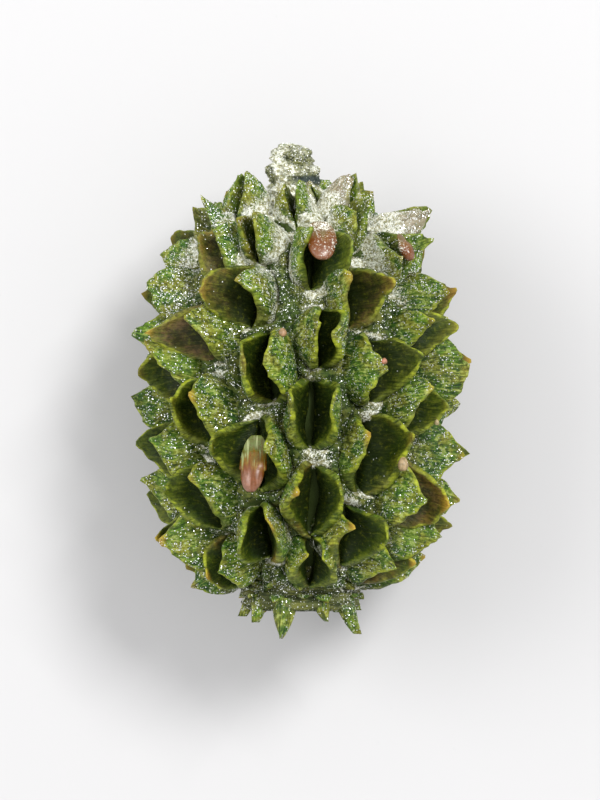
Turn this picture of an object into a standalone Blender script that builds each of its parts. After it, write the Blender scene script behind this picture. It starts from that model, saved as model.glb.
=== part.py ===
"""Casuarina cone lying on its side, with three winged seeds showing in its open cells.

Metres, +Z up. The cone's axis runs along +Y, from the broken stalk end to the nub at its tip,
and the lowest valve tips end on small flats at z = 0. A cell is a slit in the woody body with a
thin, cupped, pointed valve on each side of it; cells stand in alternating whorls round the body.
"""

import math
from collections import namedtuple

import bmesh
import bpy
import numpy as np

MM = 0.001

# The woody body without its valves: a superellipse turned round the cone's axis
BODY_RADIUS = 6.2 * MM
BODY_HALF_LENGTH = 10.85 * MM
BODY_MIDDLE = -0.41 * MM
BODY_SQUARENESS = 2.5
BODY_SIDES = 14
BODY_RINGS = 8
AXIS_X = -0.01 * MM
AXIS_HEIGHT = 8.80 * MM

# One whorl of cells: where it stands along the axis, how many cells it has, the turn of its first
# cell from straight up, and the size of its valves. The whorls near the tip are small and close.
Whorl = namedtuple("Whorl", "along_mm cells turn_degrees half_width_mm length_mm")
WHORLS = (
    Whorl(10.25, 5, 20.0, 0.65, 1.20),
    Whorl(9.75, 7, -5.0, 0.95, 1.90),
    Whorl(8.55, 7, 33.0, 1.15, 2.30),
    Whorl(7.05, 7, 7.8, 1.40, 2.65),
    Whorl(4.90, 7, 23.6, 1.45, 2.80),
    Whorl(3.00, 7, 9.7, 1.30, 2.85),
    Whorl(1.15, 7, 34.0, 1.60, 2.95),
    Whorl(-1.00, 7, 5.0, 1.60, 2.95),
    Whorl(-3.50, 7, 31.5, 1.65, 2.95),
    Whorl(-5.65, 7, 5.5, 1.60, 2.90),
    Whorl(-7.65, 7, 26.0, 1.45, 2.75),
    Whorl(-9.50, 7, 4.0, 1.30, 2.35),
)
TURN_JITTER = math.radians(2.2)
ALONG_JITTER = 0.16 * MM
LENGTH_JITTER = 0.06
LEAN_JITTER = 0.10
SEED_OF_DRAWS = 4
# Share of the way that a valve's axis turns from square across the cone to square off the body's side
TURN_TO_SIDE = 0.55

# One valve. Widths and the slit are in parts of the valve's half width; lean is sideways run over
# height. Each row across it has its height in parts of the valve's length, its width, and where
# its points stand from edge to edge.
VALVE_SINK = 0.7 * MM
BLADE_THICKNESS = 0.6 * MM
ROOT_THICKENING = 1.4
ROOT_WIDTH = 0.8
SLIT_HALF_WIDTH = 0.40
CUP_DEPTH = 0.42
CUP_POWER = 1.6
USUAL_LEAN = 0.24
SMALL_VALVE = 1.2 * MM
ROWS_OF_LARGE = ((0.36, 1.0, (-1.0, -0.4, 0.4, 1.0)), (0.68, 0.68, (-1.0, 0.0, 1.0)))
ROWS_OF_SMALL = ((0.42, 1.0, (-1.0, 0.0, 1.0)),)

# The rough nub at the tip, as (place along the axis, radius), and how far its top stands to one side
NUB_PROFILE_MM = ((9.6, 1.9), (10.9, 1.5), (11.7, 1.26), (12.2, 1.42), (12.9, 1.30), (13.50, 0.80))
NUB_SIDES = 9
NUB_ROUGHNESS = 0.12
NUB_ASIDE = -0.45 * MM

# The broken stalk end at the base and the short pointed scales that hang from its rim
STALK_PROFILE_MM = ((-11.85, 2.7), (-11.4, 3.15), (-8.0, 3.2))
STALK_SIDES = 12
STALK_ROUGHNESS = 0.05
STALK_SCALES = 9
STALK_SCALE_TURN = math.radians(22)
STALK_SCALE_ROOT_RADIUS = 2.45 * MM
STALK_SCALE_ROOT = -11.3 * MM
STALK_SCALE_SUNK = 0.6 * MM
STALK_SCALE_LENGTH = 1.2 * MM
STALK_SCALE_HALF_WIDTH = 0.62 * MM

# A winged seed: the cell that holds it, its place there, its half sizes, how far it tips its wing
# inwards, and how far its wing reaches past it. Its cell stands wider open, by this lean.
Seed = namedtuple("Seed", "whorl place aside up out half_width half_length half_depth tip_degrees wing lean")
SEEDS = (
    Seed(8, 6, 0.0, -0.55, 2.15, 0.68, 1.20, 0.45, 20.0, 0.9, 0.42),
    Seed(3, 0, 0.1, 0.35, 2.0, 0.60, 0.90, 0.42, 14.0, 0.6, 0.50),
    Seed(3, 1, -0.1, 0.25, 1.9, 0.42, 0.60, 0.35, 12.0, 0.5, 0.42),
)
SEED_SIDES = 8
SEED_RINGS = 4
WING_HALF_WIDTH = 0.4 * MM

WOOD_COLOUR = (0.070, 0.115, 0.018, 1.0)
SEED_COLOUR = (0.42, 0.17, 0.09, 1.0)

Cell = namedtuple("Cell", "turn along leans half_width length")
Placed = namedtuple("Placed", "base side up out")


def body_radius(along):
    """Radius of the body's side at a place along the axis."""
    share = abs((along - BODY_MIDDLE) / BODY_HALF_LENGTH)
    return BODY_RADIUS * max(0.0, 1 - share**BODY_SQUARENESS) ** (1 / BODY_SQUARENESS)


def round_axis(turn, radius, along):
    """World point at a turn round the axis from straight up, positive towards +X."""
    return np.array([AXIS_X + radius * math.sin(turn), along, AXIS_HEIGHT + radius * math.cos(turn)])


def placed(cell):
    """The cell's base point on the body and its three directions: round, towards the tip, outwards."""
    step = 0.05 * MM
    slope = (body_radius(cell.along + step) - body_radius(cell.along - step)) / (2 * step)
    tilt = TURN_TO_SIDE * math.atan(-slope)
    side = np.array([math.cos(cell.turn), 0.0, -math.sin(cell.turn)])
    radial = np.array([math.sin(cell.turn), 0.0, math.cos(cell.turn)])
    axial = np.array([0.0, 1.0, 0.0])
    return Placed(
        round_axis(cell.turn, body_radius(cell.along), cell.along),
        side,
        math.cos(tilt) * axial - math.sin(tilt) * radial,
        math.cos(tilt) * radial + math.sin(tilt) * axial,
    )


def all_cells():
    """Every cell by (whorl, place), each with a small seeded shift."""
    draws = np.random.default_rng(SEED_OF_DRAWS)
    widened = {(seed.whorl, seed.place): seed.lean for seed in SEEDS}
    cells = {}
    for number, whorl in enumerate(WHORLS):
        for place in range(whorl.cells):
            shift = draws.uniform(-1, 1, 5)
            lean = widened.get((number, place), USUAL_LEAN)
            cells[number, place] = Cell(
                math.radians(whorl.turn_degrees + 360 * place / whorl.cells) + TURN_JITTER * shift[0],
                whorl.along_mm * MM + ALONG_JITTER * shift[1],
                (lean + LEAN_JITTER * shift[2], lean + LEAN_JITTER * shift[3]),
                whorl.half_width_mm * MM,
                whorl.length_mm * MM * (1 + LENGTH_JITTER * shift[4]),
            )
    return cells


def outward(points, faces):
    """The same shape with its faces turned round if they point inwards."""
    corners = points[np.array(faces)] - points.mean(axis=0)
    volume = np.einsum("ij,ij->", corners[:, 0], np.cross(corners[:, 1], corners[:, 2]))
    return (points, faces) if volume > 0 else (points, [tuple(reversed(face)) for face in faces])


def strip_between(lower, upper):
    """Triangles that fill the band between two rows of point numbers, which may differ in count."""
    triangles = []
    i = j = 0
    while i < len(lower) - 1 or j < len(upper) - 1:
        ahead_lower = (i + 0.5) / max(len(lower) - 1, 1)
        ahead_upper = (j + 0.5) / max(len(upper) - 1, 1)
        if j == len(upper) - 1 or (i < len(lower) - 1 and ahead_lower <= ahead_upper):
            triangles.append((lower[i], lower[i + 1], upper[j]))
            i += 1
        else:
            triangles.append((lower[i], upper[j + 1], upper[j]))
            j += 1
    return triangles


def blade(rows, towards, thickening=1.0):
    """A closed thin shell from rows of points, root first and a single tip point last.

    Its second face is the first one set off along its normals, by the blade's thickness at the tip
    and by the thickening times that at the root.
    """
    face = np.array([point for row in rows for point in row])
    starts = np.cumsum([0] + [len(row) for row in rows])
    numbers = [list(range(first, after)) for first, after in zip(starts, starts[1:])]
    triangles = [one for lower, upper in zip(numbers, numbers[1:]) for one in strip_between(lower, upper)]
    normals = np.zeros_like(face)
    for a, b, c in triangles:
        normals[[a, b, c]] += np.cross(face[b] - face[a], face[c] - face[a])
    normals /= np.linalg.norm(normals, axis=1)[:, None]
    if normals.mean(axis=0) @ towards < 0:
        normals = -normals
    heights = np.concatenate([[k / (len(rows) - 1)] * len(row) for k, row in enumerate(rows)])
    depth = BLADE_THICKNESS * (1 + (thickening - 1) * (1 - heights) ** 2)
    rim = numbers[0] + [row[-1] for row in numbers[1:]] + [row[0] for row in reversed(numbers[1:-1])]
    count = len(face)
    faces = triangles + [(c + count, b + count, a + count) for a, b, c in triangles]
    for a, b in zip(rim, rim[1:] + rim[:1]):
        faces += [(b, a, a + count), (b, a + count, b + count)]
    return outward(np.vstack([face, face + depth[:, None] * normals]), faces)


def valve(cell, hand):
    """One valve, left (-1) or right (+1) of its slit: its edges curve in to the slit, its face leans away."""
    at = placed(cell)
    lean = cell.leans[0 if hand < 0 else 1]

    def spot(u, width, out):
        inwards = CUP_DEPTH * (abs(u) * width) ** CUP_POWER if out > 0 else 0.0
        apart = (SLIT_HALF_WIDTH - inwards) * cell.half_width + lean * max(out, 0)
        return at.base + at.out * out + at.up * u * width * cell.half_width + at.side * hand * apart

    rows = [[spot(u, ROOT_WIDTH, -VALVE_SINK) for u in (-1, 1)]]
    for height, width, across in ROWS_OF_SMALL if cell.half_width < SMALL_VALVE else ROWS_OF_LARGE:
        rows.append([spot(u, width, height * cell.length) for u in across])
    rows.append([spot(0, 0, cell.length)])
    return blade(rows, at.side * hand, ROOT_THICKENING)


def capped_tube(rings):
    """A closed shape from rings of points with equal counts, each end closed by a point at its middle."""
    sides = len(rings[0])
    points = np.vstack(rings + [[np.mean(rings[0], axis=0)], [np.mean(rings[-1], axis=0)]])
    first, last = len(points) - 2, len(points) - 1
    faces = []
    for row in range(len(rings) - 1):
        for k in range(sides):
            a, b = row * sides + k, row * sides + (k + 1) % sides
            faces += [(a, b, b + sides), (a, b + sides, a + sides)]
    top = (len(rings) - 1) * sides
    for k in range(sides):
        faces += [(first, (k + 1) % sides, k), (top + k, top + (k + 1) % sides, last)]
    return outward(points, faces)


def turned(profile, sides, roughness=0.0, aside=0.0):
    """A shape turned round the cone's axis from (place, radius) pairs, rough at random and pushed
    aside towards its last ring."""
    draws = np.random.default_rng(SEED_OF_DRAWS)
    rings = []
    for number, (along, radius) in enumerate(profile):
        push = np.array([aside * number / (len(profile) - 1), 0.0, 0.0])
        reaches = radius * (1 + roughness * draws.uniform(-1, 1, sides))
        rings.append([round_axis(2 * math.pi * k / sides, reaches[k], along) + push for k in range(sides)])
    return capped_tube(rings)


def in_metres(profile_mm):
    return [(along * MM, radius * MM) for along, radius in profile_mm]


def body_shape():
    power = 2 / BODY_SQUARENESS
    angles = np.linspace(-math.pi / 2, math.pi / 2, BODY_RINGS + 2)[1:-1]
    places = BODY_MIDDLE + BODY_HALF_LENGTH * np.sign(angles) * np.abs(np.sin(angles)) ** power
    return turned([(place, body_radius(place)) for place in places], BODY_SIDES)


def stalk_scales():
    """Short pointed scales hanging from the broken rim of the stalk end."""
    draws = np.random.default_rng(SEED_OF_DRAWS + 1)
    for k in range(STALK_SCALES):
        shift = draws.uniform(-1, 1, 2)
        turn = STALK_SCALE_TURN + 2 * math.pi * k / STALK_SCALES + 0.08 * shift[0]
        reach = STALK_SCALE_SUNK + STALK_SCALE_LENGTH * (1 + 0.45 * shift[1])
        across = STALK_SCALE_HALF_WIDTH * np.array([math.cos(turn), 0.0, -math.sin(turn)])
        out = np.array([math.sin(turn), 0.0, math.cos(turn)])
        down = np.array([0.0, -0.94, 0.0]) + 0.34 * out
        root = round_axis(turn, STALK_SCALE_ROOT_RADIUS, STALK_SCALE_ROOT)
        shoulder = root + down * 0.55 * reach
        yield blade(
            [[root - across, root + across], [shoulder - across, shoulder + across], [root + down * reach]],
            out,
        )


def seed_shapes(seed, cell):
    """The nut, a flattened egg along the slit, and the wing that runs from its upper end into the cell."""
    at = placed(cell)
    tip = math.radians(seed.tip_degrees)
    along = math.cos(tip) * at.up - math.sin(tip) * at.out
    thick = math.cos(tip) * at.out + math.sin(tip) * at.up
    middle = at.base + MM * (seed.aside * at.side + seed.up * at.up + seed.out * at.out)
    rings = []
    for height in np.linspace(-math.pi / 2, math.pi / 2, SEED_RINGS + 2)[1:-1]:
        centre = middle + along * seed.half_length * MM * math.sin(height)
        rings.append([
            centre + math.cos(height) * MM * (
                at.side * seed.half_width * math.sin(around) + thick * seed.half_depth * math.cos(around))
            for around in np.linspace(0, 2 * math.pi, SEED_SIDES, endpoint=False)
        ])
    start = middle - thick * BLADE_THICKNESS / 2 + along * 0.4 * seed.half_length * MM
    end = middle - thick * BLADE_THICKNESS / 2 + along * (seed.half_length + seed.wing) * MM
    across = at.side * min(WING_HALF_WIDTH, 0.8 * seed.half_width * MM)
    shoulder = 0.4 * start + 0.6 * end
    wing = blade([[start - across, start + across], [shoulder - across, shoulder + across], [end]], thick)
    return capped_tube(rings), wing


def material(name, colour, roughness):
    made = bpy.data.materials.new(name)
    made.use_nodes = True
    shader = made.node_tree.nodes["Principled BSDF"]
    shader.inputs["Base Color"].default_value = colour
    shader.inputs["Roughness"].default_value = roughness
    return made


def mesh_object(name, shape, collection):
    points, faces = shape
    mesh = bpy.data.meshes.new(name)
    mesh.from_pydata(points.tolist(), [], faces)
    made = bpy.data.objects.new(name, mesh)
    collection.objects.link(made)
    return made


def join(target, shapes, operation):
    """Joins closed shapes to the target, or cuts them from it, by one Boolean on a collection of them."""
    collection = bpy.data.collections.new("shapes_to_join")
    bpy.context.scene.collection.children.link(collection)
    for number, shape in enumerate(shapes):
        mesh_object(f"shape_{number}", shape, collection)
    step = target.modifiers.new("join", "BOOLEAN")
    step.operation = operation
    step.operand_type = "COLLECTION"
    step.collection = collection
    step.solver = "MANIFOLD"
    bpy.context.view_layer.objects.active = target
    bpy.ops.object.modifier_apply(modifier=step.name)
    for piece in list(collection.objects):
        bpy.data.objects.remove(piece, do_unlink=True)
    bpy.data.collections.remove(collection)


def keep_outer_skin(target):
    """Drops every loose shell but the largest, which fills sealed hollows and clears scraps."""
    shape = bmesh.new()
    shape.from_mesh(target.data)
    left = set(shape.verts)
    shells = []
    while left:
        shell, edge = set(), [left.pop()]
        while edge:
            vertex = edge.pop()
            shell.add(vertex)
            beside = {link.other_vert(vertex) for link in vertex.link_edges} & left
            left -= beside
            edge += beside
        shells.append(shell)
    shells.sort(key=len)
    bmesh.ops.delete(shape, geom=[vertex for shell in shells[:-1] for vertex in shell], context="VERTS")
    shape.to_mesh(target.data)
    shape.free()


def below_floor():
    """A block under z = 0, wider than the cone."""
    around = [(-1, -1), (1, -1), (1, 1), (-1, 1)]
    rings = [[(0.02 * x, 0.02 * y, z) for x, y in around] for z in (-0.01, 0.0)]
    return capped_tube(rings)


def make_cone(cells):
    cone = mesh_object("cone", body_shape(), bpy.context.scene.collection)
    cone.data.materials.append(material("green_wood", WOOD_COLOUR, 0.75))
    shapes = [valve(cell, hand) for cell in cells.values() for hand in (-1, 1)]
    shapes.append(turned(in_metres(NUB_PROFILE_MM), NUB_SIDES, NUB_ROUGHNESS, NUB_ASIDE))
    shapes.append(turned(in_metres(STALK_PROFILE_MM), STALK_SIDES, STALK_ROUGHNESS))
    join(cone, shapes + list(stalk_scales()), "UNION")
    join(cone, [below_floor()], "DIFFERENCE")
    keep_outer_skin(cone)


def make_seeds(cells):
    skin = material("seed_skin", SEED_COLOUR, 0.45)
    for number, seed in enumerate(SEEDS, 1):
        nut, wing = seed_shapes(seed, cells[seed.whorl, seed.place])
        made = mesh_object(f"seed_{number}", nut, bpy.context.scene.collection)
        made.data.materials.append(skin)
        join(made, [wing], "UNION")


def main():
    for old in list(bpy.data.objects):
        bpy.data.objects.remove(old, do_unlink=True)
    cells = all_cells()
    make_cone(cells)
    make_seeds(cells)


main()
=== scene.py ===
"""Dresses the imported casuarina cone: thin cupped valves, frosted ledges, nub, stalk end, seeds and glitter.

Metres, +Z up, the cone's axis along +Y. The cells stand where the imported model's cells stand, by the
same rule and the same seeded draws.
"""

import math
from collections import namedtuple

import bpy
import numpy as np
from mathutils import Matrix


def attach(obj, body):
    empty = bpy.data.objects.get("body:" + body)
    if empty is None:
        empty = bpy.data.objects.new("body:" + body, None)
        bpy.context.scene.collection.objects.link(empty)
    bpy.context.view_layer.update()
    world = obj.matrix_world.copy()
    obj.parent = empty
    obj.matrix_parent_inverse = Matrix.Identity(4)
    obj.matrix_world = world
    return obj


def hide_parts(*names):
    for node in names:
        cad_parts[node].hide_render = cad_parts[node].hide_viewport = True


bl_info = {
    "name": "Casuarina cone",
    "version": (1, 0, 0),
    "blender": (4, 5, 0),
    "location": "3D View > Sidebar > Cone",
    "description": "Builds a dried casuarina cone with cupped valves, seeds and silver glitter",
    "category": "Object",
}

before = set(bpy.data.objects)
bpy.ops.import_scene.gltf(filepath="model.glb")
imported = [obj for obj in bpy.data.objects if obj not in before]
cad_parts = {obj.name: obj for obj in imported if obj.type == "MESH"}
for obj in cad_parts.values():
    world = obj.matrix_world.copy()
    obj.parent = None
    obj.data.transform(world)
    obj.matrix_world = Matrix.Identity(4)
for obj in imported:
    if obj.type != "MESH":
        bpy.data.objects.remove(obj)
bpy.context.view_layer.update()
MM = 0.001

# The woody body without its valves: a superellipse turned round the cone's axis
BODY_RADIUS = 6.2 * MM
BODY_HALF_LENGTH = 10.85 * MM
BODY_MIDDLE = -0.41 * MM
BODY_SQUARENESS = 2.5
AXIS_X = -0.01 * MM
AXIS_HEIGHT = 8.80 * MM

# How far a cell leans with the body's slope: its share of the slope at the side, and at the tip
TURN_TO_SIDE = 0.55
TURN_AT_TIP = 0.95

# Whorls of cells: place along the axis, cells, turn of the first cell, and the size of the valves
Whorl = namedtuple("Whorl", "along_mm cells turn_degrees half_width_mm length_mm")
WHORLS = (
    Whorl(10.25, 5, 20.0, 0.65, 1.20),
    Whorl(9.75, 7, -5.0, 0.95, 1.90),
    Whorl(8.55, 7, 33.0, 1.15, 2.30),
    Whorl(7.05, 7, 7.8, 1.40, 2.65),
    Whorl(4.90, 7, 23.6, 1.45, 2.80),
    Whorl(3.00, 7, 9.7, 1.30, 2.85),
    Whorl(1.15, 7, 34.0, 1.60, 2.95),
    Whorl(-1.00, 7, 5.0, 1.60, 2.95),
    Whorl(-3.50, 7, 31.5, 1.65, 2.95),
    Whorl(-5.65, 7, 5.5, 1.60, 2.90),
    Whorl(-7.65, 7, 26.0, 1.45, 2.75),
    Whorl(-9.50, 7, 4.0, 1.30, 2.35),
)
TURN_JITTER = math.radians(2.2)
ALONG_JITTER = 0.16 * MM
LENGTH_JITTER = 0.06
LEAN_JITTER = 0.10
RANDOM_SEEDS = {
    "cells": 4, "stalk_scales": 5, "nub": 5, "stalk_end": 6, "warp": 17, "crust": 31, "clumps": 55,
    "glitter": 77, "tones": 100, "valves": 200}
USUAL_LEAN = 0.13
DROOP = 0.13

# A winged seed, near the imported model's: the wings are wider here and the second seed is flatter
Seed = namedtuple(
    "Seed", "whorl place aside up out half_width half_length half_depth tip_degrees wing lean dust")
SEEDS = (
    Seed(8, 6, 0.2, -0.75, 2.05, 0.68, 1.20, 0.45, 20.0, 0.9, 0.26, 0.0),
    Seed(3, 0, 0.2, 0.35, 1.95, 0.76, 0.95, 0.30, 14.0, 0.6, 0.34, 0.56),
    Seed(3, 1, -0.1, 0.25, 1.9, 0.42, 0.60, 0.35, 12.0, 0.5, 0.30, 0.46),
)
SEED_NUT_WIDTH = 0.96
SEED_WING_WIDTH = 1.12
SEED_WING_DEPTH_MM = 0.10

# Loose grains: place across and along the cone, half width and half length (mm), and how pink
Grain = namedtuple("Grain", "across_mm along_mm half_width_mm half_length_mm pink")
GRAINS = (
    Grain(-0.99, 3.22, 0.22, 0.25, 0.6), Grain(4.46, 1.68, 0.15, 0.17, 1.0),
    Grain(5.50, -3.85, 0.28, 0.40, 0.3), Grain(7.37, -1.62, 0.13, 0.16, 0.1),
    Grain(-1.27, -12.0, 0.16, 0.18, 0.5))

# How far the cells stand open along the axis (mm): nearly shut towards the tip
OPEN_ALONG_MM = (4.9, 7.0, 8.6, 9.8, 10.3)
OPEN_SHARE = (1.0, 0.60, 0.10, -0.40, -0.60)

# Cells that differ from the rule, by whorl and place: extra lean of the left and of the right valve,
# shift round the axis and along it (mm), length of the valves, how brown they are inside, how frosted
Look = namedtuple("Look", "left right round_mm along_mm longer brown pale", defaults=(0, 0, 0, 0, 1, 0, 0))
LOOKS = {
    (0, 0): Look(pale=0.4),
    (0, 4): Look(pale=0.3),
    (1, 1): Look(left=0.20, longer=1.25, pale=0.35),
    (1, 6): Look(left=0.20, longer=1.25),
    (2, 5): Look(left=0.40, right=0.28, along_mm=-0.1, longer=1.12, brown=0.7),
    (2, 6): Look(left=0.05, right=0.10, round_mm=-0.4, along_mm=-0.6, longer=1.20),
    (2, 1): Look(right=0.45, along_mm=-0.30, longer=1.25, brown=0.8, pale=0.40),
    (3, 0): Look(left=-0.14, right=-0.06),
    (3, 1): Look(left=0.10, right=-0.10, pale=0.25),
    (3, 6): Look(left=0.25, along_mm=0.3, brown=0.5),
    (4, 0): Look(left=-0.02, right=0.02, brown=0.35),
    (4, 6): Look(left=0.20, right=-0.05, along_mm=0.3, brown=0.2),
    (5, 0): Look(left=-0.08, right=-0.15),
    (5, 6): Look(left=0.35, right=-0.05, along_mm=0.2, longer=1.10, brown=0.8),
    (6, 0): Look(left=0.15, right=0.10, brown=0.1),
    (6, 6): Look(left=-0.08, right=-0.08),
    (7, 0): Look(left=0.07, right=0.07, along_mm=-0.1),
    (8, 0): Look(left=0.18, right=-0.02),
    (8, 6): Look(right=0.12),
    (9, 0): Look(round_mm=0.1),
    (7, 1): Look(pale=0.20),
    (8, 1): Look(pale=0.25),
    (9, 1): Look(left=0.28, right=0.08, longer=1.06, brown=0.4),
    (10, 1): Look(pale=0.35),
    (10, 6): Look(left=-0.04, right=0.04, round_mm=0.35, along_mm=0.2, pale=0.5),
    (10, 0): Look(left=-0.05, right=0.12, pale=0.2),
    (11, 0): Look(left=-0.05, along_mm=0.55, longer=0.75),
    (11, 1): Look(along_mm=0.40, longer=0.85),
    (11, 6): Look(along_mm=0.45, longer=0.80),
}

WARP_BROAD = 0.15 * MM
WARP_SHORT = 0.035 * MM
LOW = 0.30 * MM

PIECES_OF_VALVES = {"valves_tip": range(0, 4), "valves_middle": range(4, 8), "valves_base": range(8, 12)}
SHARES_OF_FLAKES = {"valves_tip": 0.42, "valves_middle": 0.33, "valves_base": 0.25}
FLAKES_ON_VALVES = 0.8

# Flakes elsewhere: the lowest value of "ledge" that they lie on, and how many
FLAKES_ELSEWHERE = (("nub", 0.0, 2600), ("body", 0.9, 9000), ("stalk_end", 0.0, 1300))
FLAKE_PIECES = 3

# A flake, in half sizes: the tilt off its surface, the range of roots of its size, its lift and its depth
FLAKE_TILT = 0.45
FLAKE_SIZES = (0.40, 1.04)
FLAKE_LIFT = 0.4
FLAKE_DEPTH = 0.18

BODY_ROWS, BODY_SIDES = 200, 300

# The profiles of the nub and the stalk end: place along the axis and radius (mm)
NUB_NECK_MM = 11.66
NUB_PROFILE_MM = (
    (9.4, 2.1), (10.6, 1.8), (11.1, 1.52), (11.4, 1.36), (11.68, 1.26), (11.95, 1.34), (12.20, 1.44),
    (12.44, 1.38), (12.56, 1.10), (12.64, 0.98), (12.76, 1.10), (12.95, 1.14), (13.15, 1.04),
    (13.38, 0.84), (13.55, 0.58), (13.66, 0.32), (13.69, 0.12))
STALK_PROFILE_MM = (
    (-11.25, 0.3), (-11.3, 1.2), (-11.4, 1.9), (-11.75, 2.35), (-11.95, 2.65), (-11.85, 3.0), (-11.5, 3.15),
    (-11.2, 3.05), (-11.0, 3.25), (-10.75, 3.15), (-10.5, 3.35), (-10.2, 3.2), (-9.6, 3.3), (-8.0, 3.2))

# The ring of long scales under the stalk end: each one's length and half width, then the ring's place
# along the axis, radius, splay and first turn. Two rings of short ones: place, radius, count, length, splay
STALK_TIPS_MM = (0.80, 1.55, 0.30, 0.50, 0.30, 0.50, 0.65, 0.90, 1.75)
STALK_HALF_WIDTHS_MM = (0.45, 0.85, 0.5, 0.45, 0.5, 0.45, 0.5, 0.45, 0.62)
LONG_ALONG_MM, LONG_RADIUS_MM, LONG_SPLAY, LONG_TURN_DEGREES = -11.2, 2.75, 0.20, 22
SHORT_SCALES = ((-11.0, 3.0, 11, 0.45, 0.5), (-10.3, 3.1, 13, 0.5, 0.9))

# The stage: half the floor's side, and each light's name, place, width (metres) and power (watts)
FLOOR_HALF_SIDE = 0.6
LIGHTS = (("key", (0.16, 0.17, 0.36), 0.12, 1.35), ("fill", (-0.26, 0.08, 0.28), 0.20, 0.60))
ROOM_COLOUR = (0.93, 0.93, 0.95, 1.0)
ROOM_STRENGTH = 0.82
SENSOR_WIDTH_MM = 36.0
CLIP_START = 0.01
CAMERA_X, CAMERA_Y = -0.055 * MM, -0.41 * MM


def draws_for(use, more=0):
    """The random draws of one use, the same in every run."""
    return np.random.default_rng(RANDOM_SEEDS[use] + more)


def around_circle(count):
    """Even turns round a circle, without the last one that meets the first."""
    return np.linspace(0, 2 * math.pi, count, endpoint=False)


def end_to_end(count):
    """Even angles from -90 to 90 degrees, whose sines lie closer together towards both ends."""
    return np.linspace(-math.pi / 2, math.pi / 2, count)


def unit(vectors):
    """Directions of length 1."""
    return vectors / (np.linalg.norm(vectors, axis=-1, keepdims=True) + 1e-12)


def srgb(red, green, blue):
    """A colour in linear light from its 0 to 255 screen values."""
    shares = np.array([red, green, blue]) / 255
    linear = np.where(shares <= 0.04045, shares / 12.92, ((shares + 0.055) / 1.055) ** 2.4)
    return (*linear.tolist(), 1.0)


# ---- sizes and colours a user would change


def length(name, description, default_mm):
    return bpy.props.FloatProperty(
        name=name, description=description, default=default_mm * MM, unit="LENGTH", precision=5, min=0)


def share(name, description, default):
    return bpy.props.FloatProperty(name=name, description=description, default=default, min=0, soft_max=1)


def colour(name, description, default):
    return bpy.props.FloatVectorProperty(
        name=name, description=description, default=default, size=4, subtype="COLOR", min=0, max=1)


class ValveSettings(bpy.types.PropertyGroup):
    rim_thickness: length("Rim thickness", "Thickness of a valve at its lip", 0.17)
    root_thickness: length("Root thickness", "Thickness of a valve where it leaves the body", 1.35)
    root_depth: length("Root depth", "How far a valve's root goes below the body's surface", 1.3)
    slit: share("Slit width", "Half width of the slit over half width of the valve", 0.32)
    tip_share: share("Pointed tip", "How much of a valve's height is its pointed tip", 0.24)
    fold_height: length("Folds", "Height of the long folds on the outside of a valve", 0.040)
    wood_green: colour("Green", "Outside of the valves", srgb(96, 132, 24))
    wood_blue_green: colour("Blue green", "Darker patches outside", srgb(50, 98, 20))
    wood_olive: colour("Olive", "Inside of the valves", srgb(50, 68, 6))
    wood_brown: colour("Brown", "Dry inside of the valves", srgb(80, 68, 20))
    # The lip's lime is partly its own colour and partly a painted highlight along the edge
    rim_lime: colour("Lime", "Lip of the valves", srgb(170, 180, 44))
    tip_ochre: colour("Ochre", "Tip of the valves", srgb(198, 152, 54))
    frost: colour("Frost", "Pale frosting", srgb(248, 250, 236))


class BodySettings(bpy.types.PropertyGroup):
    pocket_depth: length("Pocket depth", "Depth of a cell below the body's surface", 0.7)
    bank_height: length("Bank height", "Height of the woody banks between the cells", 0.60)
    crust_height: length("Crust height", "Height of the rough crust on the ledges", 0.27)
    bark: colour("Bark", "Body between the cells", srgb(60, 80, 26))
    # painted shade: the darker colour laid over the bark on the floors of the cells
    deep: colour("Deep", "Floor of the cells", srgb(52, 66, 20))


class GlitterSettings(bpy.types.PropertyGroup):
    flakes: bpy.props.IntProperty(name="Flakes", description="How many loose flakes", default=106000, min=100)
    flake_size: length("Flake size", "Width of a flake", 0.055)
    silver: colour("Silver", "Colour of the flakes", srgb(250, 252, 248))


class SeedSettings(bpy.types.PropertyGroup):
    nut: colour("Nut", "Orange-brown of the nut", srgb(112, 58, 10))
    nut_low: colour("Nut base", "Pinkish lower end of the nut", srgb(150, 108, 88))
    wing: colour("Wing", "Greenish wing", srgb(92, 104, 44))


class StageSettings(bpy.types.PropertyGroup):
    floor: colour("Floor", "Plain pale floor", (0.590, 0.586, 0.585, 1.0))
    lens_mm: bpy.props.FloatProperty(name="Lens", description="Focal length in millimetres", default=250.0, min=20)
    view_height: length("View height", "Height of the view where the outline stands", 44.0)


# ---- the cells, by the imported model's rule

Placed = namedtuple("Placed", "base side up out")
Cells = namedtuple("Cells", "turn along left right half_width length whorl place brown pale")
Valves = namedtuple("Valves", "base side up out half_width length lean tone brown frost")


def body_radius(along):
    """Radius of the body's side: R times (1 - |s| to the power q) to the power 1/q."""
    places = np.minimum(np.abs((np.asarray(along) - BODY_MIDDLE) / BODY_HALF_LENGTH), 1.0)
    return BODY_RADIUS * (1 - places**BODY_SQUARENESS) ** (1 / BODY_SQUARENESS)


def round_axis(turn, radius, along):
    """Points at a turn round the axis from straight up, positive towards +X."""
    return np.stack(np.broadcast_arrays(
        AXIS_X + radius * np.sin(turn), along, AXIS_HEIGHT + radius * np.cos(turn)), axis=-1)


def side_and_radial(turn):
    """The directions round the axis and away from it, at each turn."""
    zero = np.zeros_like(turn)
    return (np.stack([np.cos(turn), zero, -np.sin(turn)], axis=-1),
            np.stack([np.sin(turn), zero, np.cos(turn)], axis=-1))


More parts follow.
